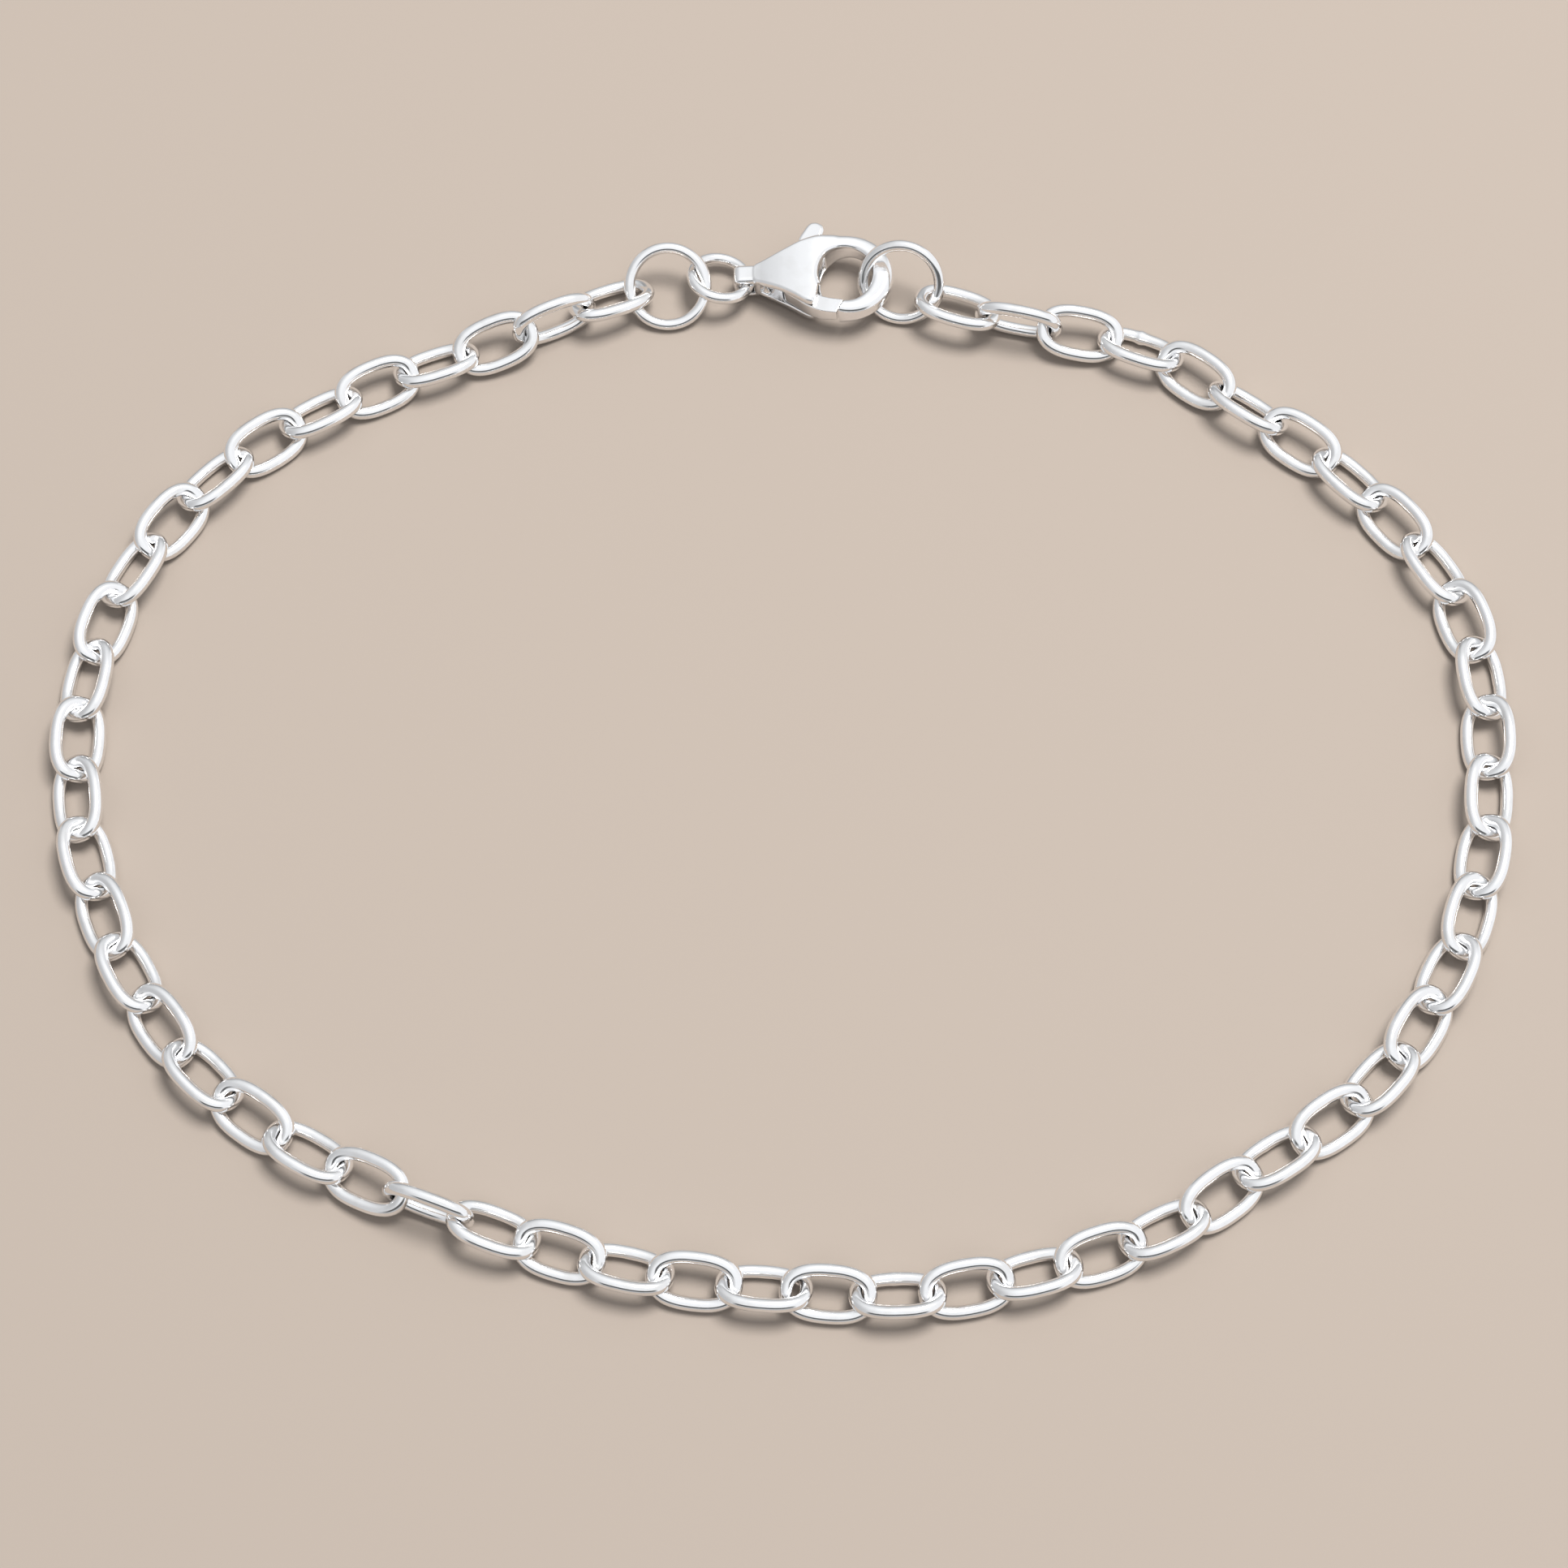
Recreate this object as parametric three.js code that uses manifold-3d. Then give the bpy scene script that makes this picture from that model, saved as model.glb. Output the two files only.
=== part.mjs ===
// Chain bracelet: a polished silver cable chain, laid in an oval and closed with a lobster clasp.
// Millimetres, +Z up. The origin is under the middle of the bracelet, on the surface that it lies on.
// The clasp is on the +Y side, with its tail towards -X and its hook towards +X.
import * as THREE from "three";
import { mergeVertices } from "three/addons/utils/BufferGeometryUtils.js";
import Module from "manifold-3d";

const wasm = await Module();
wasm.setup();

// Moves the loop's own centre so that the finished bracelet stands centred over its origin.
const LOOP_SHIFT = new THREE.Vector3(0.079, -1.399, 0.03);

// Chain: each link is a blunt oval of round wire, and leans on its neighbours.
const LINK_WIRE = 0.6;
const LINK_LENGTH = 4.37;
const LINK_WIDTH = 2.72;
const LINK_BLUNTNESS = 2.5; // exponent of the oval: 2 is an ellipse
const LINK_SIDES = 12;
const WIRE_SIDES = 6;
const LINK_PITCH = 3.1;
const LINKS_IN_A_RUN = 28;
const RUN_SLACK = 0.22; // how much deeper the two runs' last links hang in each other
const LINK_LEAN = 29; // degrees from flat, to one side and the other by turns

// Where the chain lies, clockwise from the clasp's hook: degrees from +X, and mm from the loop's centre.
const CHAIN_PLAN = [
  { azimuth: 74.4, radius: 26.35 },
  { azimuth: 64, radius: 26.72 },
  { azimuth: 52, radius: 29 },
  { azimuth: 41, radius: 29.7 },
  { azimuth: 30, radius: 31.5 },
  { azimuth: 15, radius: 33.5 },
  { azimuth: 0, radius: 33.2 },
  { azimuth: -15, radius: 32.5 },
  { azimuth: -30, radius: 31.2 },
  { azimuth: -42, radius: 29.1 },
  { azimuth: -55, radius: 28.1 },
  { azimuth: -75, radius: 26.4 },
  { azimuth: -90, radius: 25.34 },
  { azimuth: -105, radius: 25.4 },
  { azimuth: -120, radius: 26.1 },
  { azimuth: -135, radius: 28.1 },
  { azimuth: -150, radius: 30.6 },
  { azimuth: -165, radius: 32.25 },
  { azimuth: -180, radius: 33.4 },
  { azimuth: -195, radius: 33.4 },
  { azimuth: -210, radius: 31.7 },
  { azimuth: -225, radius: 28.95 },
  { azimuth: -240, radius: 26.9 },
  { azimuth: -255, radius: 27.1 },
];

// Links 2, 34 and 55 stand on edge, and the side that the chain leans to changes over at each.
const UPRIGHT_LINKS = [2, 34, 55];

// Links that lie unlike the rest: lean in degrees, outer side up, and how far each end is lifted, in mm.
const LINKS_LYING_OTHERWISE = [
  { link: 1, lean: -22, liftStart: 0.6, liftEnd: 0.5 },
  { link: 2, lean: -84, liftStart: 0, liftEnd: 0 },
  { link: 3, lean: 29, liftStart: 0.4, liftEnd: 0 },
  { link: 5, lean: 29, liftStart: 0, liftEnd: 0.1 },
  { link: 6, lean: -40, liftStart: 0, liftEnd: 0 },
  { link: 7, lean: 29, liftStart: 0.1, liftEnd: 0 },
  { link: 33, lean: 29, liftStart: 0, liftEnd: 0.45 },
  { link: 34, lean: 90, liftStart: 0, liftEnd: 0 },
  { link: 35, lean: -29, liftStart: 0.45, liftEnd: 0 },
  { link: 54, lean: 29, liftStart: 0, liftEnd: 0.45 },
  { link: 55, lean: 82, liftStart: 0, liftEnd: 0 },
  { link: 56, lean: -29, liftStart: 0.4, liftEnd: 0 },
];

// Rings: radius of the wire's middle, wire, centre, and how steeply the ring rises along X and Y.
const RING_SIDES = 16;
const RINGS = [
  { name: "jump_ring_right", radius: 1.91, wire: 0.5, centre: [5.766, 26.055, 1.73], riseX: 0.289, riseY: 1.225 },
  { name: "jump_ring_left", radius: 1.9, wire: 0.5, centre: [-5.829, 26.149, 1.223], riseX: 0.004, riseY: 0.572 },
  { name: "tail_ring", radius: 1.43, wire: 0.5, centre: [-3.225, 26.671, 1.127], riseX: -0.18, riseY: -0.276 },
];

// Clasp, in its own frame: along from tail to hook, across to the far side, and up from its underside.
const CLASP_TAIL = new THREE.Vector3(-2.47, 26.67, 0);
const CLASP_PITCH = 4.6; // degrees that the hook end is raised, because the ring passes under it
const CLASP_MIDDLE = 1; // height of the middle plane, half of the clasp's thickness
const CLASP_WIDTH_ROOM = 8; // more than the clasp's width, for cuts right across it
const SLOT_HALF = 0.56;
const LEVER_HALF = 0.46;
const HOOK_HALF = 0.47;
const HOOK_CHAMFER = 0.16;
const LEVER_CHAMFER = 0.08;
const PIVOT = { along: 2.95, across: -0.8 };
const PIN = { radius: 0.27, half: 0.72, clearance: 0.06, sides: 12 };
const POST = { along: 1.62, across: -0.42, radius: 0.17, half: 0.55, sides: 8 };
const HOOK = { along: 5.72, across: -0.2, radius: 2.27, start: -103, end: 128 };
const HOOK_EYE = { along: 5.6, across: -0.22, reachAlong: 1.32, reachAcross: 1.5, start: -93, end: 150 };
const TAIL_EYE = { from: 0.25, to: 1.12, halfHeight: 0.46, corner: 0.25 };
const TAIL = { from: 0, to: 1.45, halfHeight: 0.78, corner: 0.32, width: 1, chamfer: 0.12, middle: 0.83 };

// Outline of the two plates from above, round from the tail's far side to its near side.
const PLATE_OUTLINE = [
  { along: 0.95, across: 0.48 },
  { along: 1.6, across: 0.72 },
  { along: 2.26, across: 1.02 },
  { along: 3.5, across: 1.64 },
  { along: 4.3, across: 1.96 },
  { along: 5.2, across: 2.02 },
  { along: 5.5, across: 1.55 },
  { along: 4.9, across: 1.1 },
  { along: 4.32, across: 0.1 },
  { along: 4.2, across: -0.8 },
  { along: 4.14, across: -1.55 },
  { along: 3.98, across: -1.93 },
  { along: 3.66, across: -1.88 },
  { along: 2.57, across: -1.2 },
  { along: 1.5, across: -0.68 },
  { along: 0.95, across: -0.48 },
];

// Half of the plates' height from the side: thin at the tail, fullest over the lever, down to the hook.
const PLATE_PROFILE = [
  { along: 0.9, half: 0.6 },
  { along: 1.25, half: 0.66 },
  { along: 2.4, half: 0.92 },
  { along: 2.8, half: 1 },
  { along: 3.9, half: 1 },
  { along: 4.3, half: 0.94 },
  { along: 4.9, half: 0.76 },
  { along: 5.6, half: 0.48 },
];

// Room between the plates for the lever, from above, and half of its height from the side.
const SLOT_OUTLINE = [
  { along: 1.35, across: -3 },
  { along: 1.35, across: 0.1 },
  { along: 1.9, across: 0.75 },
  { along: 2.3, across: 3 },
  { along: 4.75, across: 3 },
  { along: 4.66, across: 1.9 },
  { along: 4.5, across: 1 },
  { along: 4.6, across: 0 },
  { along: 4.6, across: -3 },
];
const SLOT_PROFILE = [
  { along: 1.3, half: 0.3 },
  { along: 2.3, half: SLOT_HALF },
  { along: 6, half: SLOT_HALF },
];

// Outline of the lever from above, round from the jaw's outer corner: jaw, pivot end, thumb tab.
const LEVER_OUTLINE = [
  { along: 5.12, across: -2.4 },
  { along: 4.4, across: -2.28 },
  { along: 3.7, across: -1.95 },
  { along: 3, across: -1.4 },
  { along: 2.55, across: -1.08 },
  { along: 2.42, across: -0.75 },
  { along: 2.58, across: -0.38 },
  { along: 2.95, across: 0.5 },
  { along: 3.15, across: 1.5 },
  { along: 3.24, across: 2.05 },
  { along: 3.5, across: 2.5 },
  { along: 3.68, across: 2.78 },
  { along: 3.9, across: 2.93 },
  { along: 4.2, across: 2.93 },
  { along: 4.48, across: 2.76 },
  { along: 4.58, across: 2.45 },
  { along: 4.46, across: 2.1 },
  { along: 4.24, across: 1.2 },
  { along: 4.04, across: 0.3 },
  { along: 3.96, across: -0.5 },
  { along: 4.1, across: -1.22 },
  { along: 4.6, across: -1.5 },
  { along: 5.42, across: -1.76 },
];

const silver = { color: 0xe9e7e4, roughness: 0.16, metalness: 1 };

// The wire's polygon has the area of the round wire.
function wireRadius(wire) {
  return (wire / 2) * Math.sqrt((2 * Math.PI) / (WIRE_SIDES * Math.sin((2 * Math.PI) / WIRE_SIDES)));
}

function solidFrom(geometry) {
  const bare = geometry.clone();
  bare.deleteAttribute("normal");
  bare.deleteAttribute("uv");
  const merged = mergeVertices(bare, 1e-4);
  return new wasm.Manifold(
    new wasm.Mesh({
      numProp: 3,
      vertProperties: merged.attributes.position.array,
      triVerts: new Uint32Array(merged.index.array),
    }),
  );
}

function meshFrom(solid, name) {
  const made = solid.getMesh();
  const geometry = new THREE.BufferGeometry();
  geometry.setAttribute("position", new THREE.BufferAttribute(made.vertProperties.slice(), 3));
  geometry.setIndex(new THREE.BufferAttribute(made.triVerts.slice(), 1));
  geometry.computeVertexNormals();
  return namedMesh(geometry, name);
}

function namedMesh(geometry, name) {
  const mesh = new THREE.Mesh(geometry, new THREE.MeshStandardMaterial(silver));
  mesh.name = name;
  return mesh;
}

// A link: a torus whose middle line is pulled from a circle to a blunt oval.
function linkGeometry() {
  const geometry = new THREE.TorusGeometry(1, 0.1, WIRE_SIDES, LINK_SIDES);
  const position = geometry.attributes.position;
  const halfLength = (LINK_LENGTH - LINK_WIRE) / 2;
  const halfWidth = (LINK_WIDTH - LINK_WIRE) / 2;
  const radius = wireRadius(LINK_WIRE);
  for (let i = 0; i < position.count; i++) {
    const round = (2 * Math.PI * (i % (LINK_SIDES + 1))) / LINK_SIDES;
    const section = (2 * Math.PI * Math.floor(i / (LINK_SIDES + 1))) / WIRE_SIDES;
    const middle = ovalPoint(round, halfLength, halfWidth);
    const outward = ovalNormal(middle, halfLength, halfWidth);
    middle.addScaledVector(outward, radius * Math.cos(section));
    position.setXYZ(i, middle.x, middle.y, radius * Math.sin(section));
  }
  return geometry;
}

function ovalPoint(angle, halfLength, halfWidth) {
  const bend = (value) => Math.sign(value) * Math.abs(value) ** (2 / LINK_BLUNTNESS);
  return new THREE.Vector2(halfLength * bend(Math.cos(angle)), halfWidth * bend(Math.sin(angle)));
}

function ovalNormal(point, halfLength, halfWidth) {
  const slope = (value, half) => (Math.sign(value) * Math.abs(value / half) ** (LINK_BLUNTNESS - 1)) / half;
  return new THREE.Vector2(slope(point.x, halfLength), slope(point.y, halfWidth)).normalize();
}

function planCurve() {
  const points = CHAIN_PLAN.map(({ azimuth, radius }) => {
    const angle = THREE.MathUtils.degToRad(azimuth);
    return new THREE.Vector3(radius * Math.cos(angle), radius * Math.sin(angle), 0);
  });
  return new THREE.CatmullRomCurve3(points, false, "catmullrom", 0.5);
}

// The places where each link of a run meets the next, one pitch apart in a straight line, along the plan.
function linkJoints(start) {
  const samples = planCurve().getPoints(CHAIN_PLAN.length * 60);
  const distances = samples.map((sample) => sample.distanceTo(start));
  let next = distances.indexOf(Math.min(...distances));
  const joints = [start];
  while (joints.length <= LINKS_IN_A_RUN) {
    const last = joints[joints.length - 1];
    while (next < samples.length - 1 && samples[next].distanceTo(last) < LINK_PITCH) next++;
    joints.push(last.clone().add(samples[next].clone().sub(last).setLength(LINK_PITCH)));
  }
  return joints;
}

function leanOf(link) {
  const changes = UPRIGHT_LINKS.filter((upright) => upright < link).length;
  return LINK_LEAN * (-1) ** (link + changes);
}

function linkMatrix(link, start, end) {
  const other = LINKS_LYING_OTHERWISE.find((row) => row.link === link);
  const { lean, liftStart, liftEnd } = other ?? { lean: leanOf(link), liftStart: 0, liftEnd: 0 };
  const tilt = THREE.MathUtils.degToRad(lean);
  const rest = ((LINK_WIDTH - LINK_WIRE) / 2) * Math.abs(Math.sin(tilt)) + LINK_WIRE / 2;
  const from = start.clone().setZ(rest + liftStart);
  const to = end.clone().setZ(rest + liftEnd);
  const along = to.clone().sub(from).normalize();
  const outward = new THREE.Vector3(-along.y, along.x, 0).normalize();
  const upward = along.clone().cross(outward);
  const across = outward.clone().multiplyScalar(Math.cos(tilt)).addScaledVector(upward, Math.sin(tilt));
  const matrix = new THREE.Matrix4().makeBasis(along, across, along.clone().cross(across));
  return matrix.setPosition(from.add(to).multiplyScalar(0.5));
}

// One run of the chain: its links joined where they bear on each other.
function chainRun(name, firstLink, joints) {
  let run = null;
  for (let i = 0; i < LINKS_IN_A_RUN; i++) {
    const link = solidFrom(linkGeometry().applyMatrix4(linkMatrix(firstLink + i, joints[i], joints[i + 1])));
    run = run ? run.add(link) : link;
  }
  return meshFrom(run, name);
}

function ring({ name, radius, wire, centre, riseX, riseY }) {
  const mesh = namedMesh(new THREE.TorusGeometry(radius, wireRadius(wire), WIRE_SIDES, RING_SIDES), name);
  const normal = new THREE.Vector3(-riseX, -riseY, 1).normalize();
  mesh.quaternion.setFromUnitVectors(new THREE.Vector3(0, 0, 1), normal);
  mesh.position.set(...centre);
  return mesh;
}

function outlineShape(rows) {
  return new THREE.Shape(rows.map(({ along, across }) => new THREE.Vector2(along, across)));
}

function profileShape(rows) {
  const top = rows.map(({ along, half }) => new THREE.Vector2(along, half));
  const bottom = rows.map(({ along, half }) => new THREE.Vector2(along, -half)).reverse();
  return new THREE.Shape([...top, ...bottom]);
}

// A plate cut to an outline seen from above, with its edges chamfered, half above the middle plane.
function plate(shape, half, chamfer, curveSegments = 12) {
  const geometry = new THREE.ExtrudeGeometry(shape, {
    depth: 2 * (half - chamfer),
    bevelEnabled: chamfer > 0,
    bevelThickness: chamfer,
    bevelSize: chamfer,
    bevelOffset: -chamfer,
    bevelSegments: 1,
    curveSegments,
  });
  return solidFrom(geometry.translate(0, 0, CLASP_MIDDLE - half + chamfer));
}

// A block cut to a profile seen from the near side.
function acrossBlock(shape, width, chamfer = 0, middle = CLASP_MIDDLE) {
  const geometry = new THREE.ExtrudeGeometry(shape, {
    depth: width - 2 * chamfer,
    bevelEnabled: chamfer > 0,
    bevelThickness: chamfer,
    bevelSize: chamfer,
    bevelOffset: -chamfer,
    bevelSegments: 1,
    curveSegments: 6,
  });
  geometry.rotateX(Math.PI / 2);
  return solidFrom(geometry.translate(0, width / 2 - chamfer, middle));
}

function upright({ along, across, radius, half, sides }) {
  const geometry = new THREE.CylinderGeometry(radius, radius, 2 * half, sides);
  geometry.rotateX(Math.PI / 2);
  return solidFrom(geometry.translate(along, across, CLASP_MIDDLE));
}

function hookShape() {
  const shape = new THREE.Shape();
  const radians = THREE.MathUtils.degToRad;
  shape.absarc(HOOK.along, HOOK.across, HOOK.radius, radians(HOOK.start), radians(HOOK.end), false);
  const { along, across, reachAlong, reachAcross, start, end } = HOOK_EYE;
  shape.absellipse(along, across, reachAlong, reachAcross, radians(end), radians(start), true);
  return shape;
}

function eyeShape() {
  const shape = new THREE.Shape();
  const { along, across, reachAlong, reachAcross } = HOOK_EYE;
  shape.absellipse(along, across, reachAlong, reachAcross, 0, 2 * Math.PI, false);
  return shape;
}

function roundedBox({ from, to, halfHeight, corner }) {
  const shape = new THREE.Shape();
  shape.moveTo(from + corner, -halfHeight);
  shape.lineTo(to - corner, -halfHeight);
  shape.quadraticCurveTo(to, -halfHeight, to, corner - halfHeight);
  shape.lineTo(to, halfHeight - corner);
  shape.quadraticCurveTo(to, halfHeight, to - corner, halfHeight);
  shape.lineTo(from + corner, halfHeight);
  shape.quadraticCurveTo(from, halfHeight, from, halfHeight - corner);
  shape.lineTo(from, corner - halfHeight);
  shape.quadraticCurveTo(from, -halfHeight, from + corner, -halfHeight);
  return shape;
}

function claspBody() {
  const room = CLASP_WIDTH_ROOM;
  const plates = plate(outlineShape(PLATE_OUTLINE), room / 2, 0).intersect(
    acrossBlock(profileShape(PLATE_PROFILE), room),
  );
  const hook = plate(hookShape(), HOOK_HALF, HOOK_CHAMFER, 8);
  const slot = plate(outlineShape(SLOT_OUTLINE), room / 2, 0).intersect(
    acrossBlock(profileShape(SLOT_PROFILE), room),
  );
  const pocket = { ...PIVOT, radius: PIN.radius + PIN.clearance, half: PIN.half + PIN.clearance, sides: PIN.sides };
  return plates
    .add(hook)
    .subtract(plate(eyeShape(), room / 2, 0, 18))
    .subtract(slot)
    .subtract(upright(pocket))
    .add(upright(POST))
    .add(acrossBlock(roundedBox(TAIL), TAIL.width, TAIL.chamfer, TAIL.middle))
    .subtract(acrossBlock(roundedBox(TAIL_EYE), room, 0, TAIL.middle));
}

function claspLever() {
  const hole = { ...PIVOT, radius: PIN.radius + PIN.clearance, half: 1, sides: PIN.sides };
  return plate(outlineShape(LEVER_OUTLINE), LEVER_HALF, LEVER_CHAMFER).subtract(upright(hole));
}

function clasp() {
  const group = new THREE.Group();
  group.add(meshFrom(claspBody(), "clasp_body"));
  group.add(meshFrom(claspLever(), "clasp_lever"));
  group.add(meshFrom(upright({ ...PIVOT, ...PIN }), "clasp_pin"));
  group.position.copy(CLASP_TAIL);
  group.rotation.y = -THREE.MathUtils.degToRad(CLASP_PITCH);
  return group;
}

const bracelet = new THREE.Group();
const rightJoints = linkJoints(planCurve().getPoint(0));
const lastJoint = rightJoints[LINKS_IN_A_RUN];
const slackPart = RUN_SLACK / LINK_PITCH;
const leftJoints = linkJoints(lastJoint.clone().lerp(rightJoints[LINKS_IN_A_RUN - 1], slackPart));
bracelet.add(chainRun("chain_right", 1, rightJoints));
bracelet.add(chainRun("chain_left", LINKS_IN_A_RUN + 1, leftJoints));
RINGS.forEach((row) => bracelet.add(ring(row)));
bracelet.add(clasp());
bracelet.position.copy(LOOP_SHIFT);

export default bracelet;
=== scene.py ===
"""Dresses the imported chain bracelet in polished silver: wire links, jump rings and a cast lobster clasp.

Lengths are in millimetres until a mesh is made, and in metres from there on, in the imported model's frame:
+Z up from the surface, +Y towards the clasp, and +X from the clasp's tail to its hook.
"""

from __future__ import annotations

import itertools
import logging
import math
from dataclasses import dataclass
from enum import Enum
from typing import NamedTuple

import bpy
import numpy as np
from mathutils import Matrix, Vector

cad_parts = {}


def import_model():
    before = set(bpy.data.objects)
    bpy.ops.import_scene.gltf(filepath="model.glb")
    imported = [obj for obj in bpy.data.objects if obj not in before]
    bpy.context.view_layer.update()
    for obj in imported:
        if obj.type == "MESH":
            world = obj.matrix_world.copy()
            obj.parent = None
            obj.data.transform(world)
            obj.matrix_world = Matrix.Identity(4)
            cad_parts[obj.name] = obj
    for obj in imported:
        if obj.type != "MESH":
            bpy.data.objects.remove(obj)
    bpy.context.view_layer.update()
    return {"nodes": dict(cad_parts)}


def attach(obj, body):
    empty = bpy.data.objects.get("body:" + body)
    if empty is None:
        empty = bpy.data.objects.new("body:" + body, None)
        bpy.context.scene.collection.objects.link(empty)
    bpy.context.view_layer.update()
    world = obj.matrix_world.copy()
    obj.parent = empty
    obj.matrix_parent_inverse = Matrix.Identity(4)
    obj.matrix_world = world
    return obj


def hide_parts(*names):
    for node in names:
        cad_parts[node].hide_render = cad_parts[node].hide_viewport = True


Pair = tuple[float, float]
Triple = tuple[float, float, float]
Socket = bpy.types.NodeSocket
Array = np.ndarray

MM = 0.001
LOG = logging.getLogger("bracelet")

# The loop's own centre is moved by this much, so that the bracelet stands centred over its origin.
LOOP_SHIFT = (0.079, -1.399, 0.03)

# How far the wire's skin strays from true.
UNEVENNESS = 0.008

# Keeps a division from meeting zero.
TINY = 1e-12


class Body(Enum):
    """The rigid bodies that the pieces ride on."""

    BRACELET = "bracelet"
    LEVER = "lever"


class PlanRow(NamedTuple):
    """One place on the line that the chain lies along."""

    azimuth: float  # degrees from +X
    radius: float  # millimetres from the loop's centre


class LyingRow(NamedTuple):
    """A link that lies unlike the rest."""

    link: int
    lean: float  # degrees from flat, outer side up
    lift_start: float  # millimetres, as the next column
    lift_end: float


class SeamRow(NamedTuple):
    """A link whose solder seam can be seen."""

    link: int
    place: float  # share of the way round the wire, 0.25 at the middle of the outer side
    swelling: float  # millimetres


class Spot(NamedTuple):
    """A corner of a casting's outline from above, in the clasp's own frame."""

    along: float
    across: float


class ProfileRow(NamedTuple):
    """Half of a casting's height at one place along it."""

    along: float
    half: float


class TentRow(NamedTuple):
    """How bright the studio's tent is at one place."""

    place: float  # 0 at the front, 0.5 overhead and 1 at the back
    level: float


# Nodes and finishes


class Nodes:
    """A node tree that is laid out node by node."""

    def __init__(self, tree: bpy.types.NodeTree) -> None:
        """Takes the tree."""
        self.tree = tree

    def add(self, kind: str, fed: dict[str | int, object], **settings: object) -> bpy.types.Node:
        """Adds a node.

        Args:
            kind: The node's type.
            fed: What goes into its inputs.
            settings: Its properties.

        Returns:
            The node.
        """
        made = self.tree.nodes.new(kind)
        for name, value in settings.items():
            setattr(made, name, value)
        self.feed(made, fed)
        return made

    def feed(self, node: bpy.types.Node, fed: dict[str | int, object]) -> None:
        """Sets a node's inputs, or links other nodes to them.

        Args:
            node: The node.
            fed: A value or an output socket for each input's name or number.
        """
        for name, value in fed.items():
            if isinstance(value, Socket):
                self.tree.links.new(value, node.inputs[name])
            else:
                node.inputs[name].default_value = value

    def sum(self, operation: str, *values: object) -> Socket:
        """Adds a sum of one or two numbers.

        Args:
            operation: The Math node's operation.
            values: Its numbers or output sockets.

        Returns:
            The result.
        """
        return self.add("ShaderNodeMath", dict(enumerate(values)), operation=operation).outputs[0]


@dataclass(frozen=True)
class PolishedSilver:
    """Polished sterling silver with a faint haze, polishing lines and a little tarnish.

    Attributes:
        name: The material's name.
        colour: Colour of a clean polished face.
        tarnish: Colour of the silver in the spots that a cloth doesn't reach.
        roughness: Roughness of the best polished patches.
        haze: Roughness added in the dullest patches.
        grain: Height of the polishing lines, in millimetres.
        haze_scale: How many hazy patches there are to a metre.
        tarnish_scale: How many tarnished spots there are to a metre.
        grain_scale: How many polishing lines there are to a metre.
        grain_stretch: The lines' width as a share of their length.
        grain_turn: Degrees from X that they run.
    """

    name: str
    colour: Triple
    tarnish: Triple
    roughness: float
    haze: float
    grain: float
    haze_scale: float = 420.0
    tarnish_scale: float = 950.0
    grain_scale: float = 2600.0
    grain_stretch: float = 0.18
    grain_turn: float = 17.0

    def build(self) -> bpy.types.Material:
        """Makes the material.

        Returns:
            The node material.
        """
        material = bpy.data.materials.new(self.name)
        material.use_nodes = True
        nodes = Nodes(material.node_tree)
        place = nodes.add("ShaderNodeTexCoord", {}).outputs["Object"]

        def noise(at: Socket, scale: float, detail: float) -> Socket:
            """Adds a noise over the piece."""
            fed = {"Vector": at, "Scale": scale, "Detail": detail}
            return nodes.add("ShaderNodeTexNoise", fed).outputs["Fac"]

        fed = {"Value": noise(place, self.haze_scale, 3.0), "From Min": 0.35, "From Max": 0.75}
        levels = {"To Min": self.roughness, "To Max": self.roughness + self.haze}
        dull = nodes.add("ShaderNodeMapRange", {**fed, **levels})
        stain = nodes.add("ShaderNodeValToRGB", {"Fac": noise(place, self.tarnish_scale, 4.0)})
        for element, start, colour in zip(stain.color_ramp.elements, (0.3, 0.5), (self.tarnish, self.colour)):
            element.position = start
            element.color = (*colour, 1.0)
        run = {"Scale": (self.grain_stretch, 1.0, 1.0), "Rotation": (0.0, 0.0, math.radians(self.grain_turn))}
        stretched = nodes.add("ShaderNodeMapping", {"Vector": place, **run}).outputs["Vector"]
        lines = noise(stretched, self.grain_scale, 2.0)
        bump = nodes.add("ShaderNodeBump", {"Height": lines, "Strength": 0.35, "Distance": self.grain * MM})
        skin = {
            "Metallic": 1.0,
            "IOR": 1.45,
            "Roughness": dull.outputs["Result"],
            "Base Color": stain.outputs["Color"],
            "Normal": bump.outputs["Normal"],
        }
        nodes.feed(material.node_tree.nodes["Principled BSDF"], skin)
        return material


@dataclass(frozen=True)
class PaleFloor:
    """A plain pale matt surface."""

    name: str = "pale_floor"
    colour: Triple = (0.29, 0.247, 0.213)

    def build(self) -> bpy.types.Material:
        """Makes the material.

        Returns:
            The node material.
        """
        material = bpy.data.materials.new(self.name)
        material.use_nodes = True
        shader = material.node_tree.nodes["Principled BSDF"]
        shader.inputs["Base Color"].default_value = (*self.colour, 1.0)
        shader.inputs["Roughness"].default_value = 0.75
        shader.inputs["Specular IOR Level"].default_value = 0.2
        return material


WIRE_SILVER = PolishedSilver("wire_silver", (0.94, 0.94, 0.945), (0.87, 0.865, 0.86), 0.1, 0.06, 0.003)
CAST_SILVER = PolishedSilver("cast_silver", (0.945, 0.945, 0.95), (0.9, 0.897, 0.895), 0.11, 0.05, 0.003)


# The chain's line and its links' places


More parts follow.
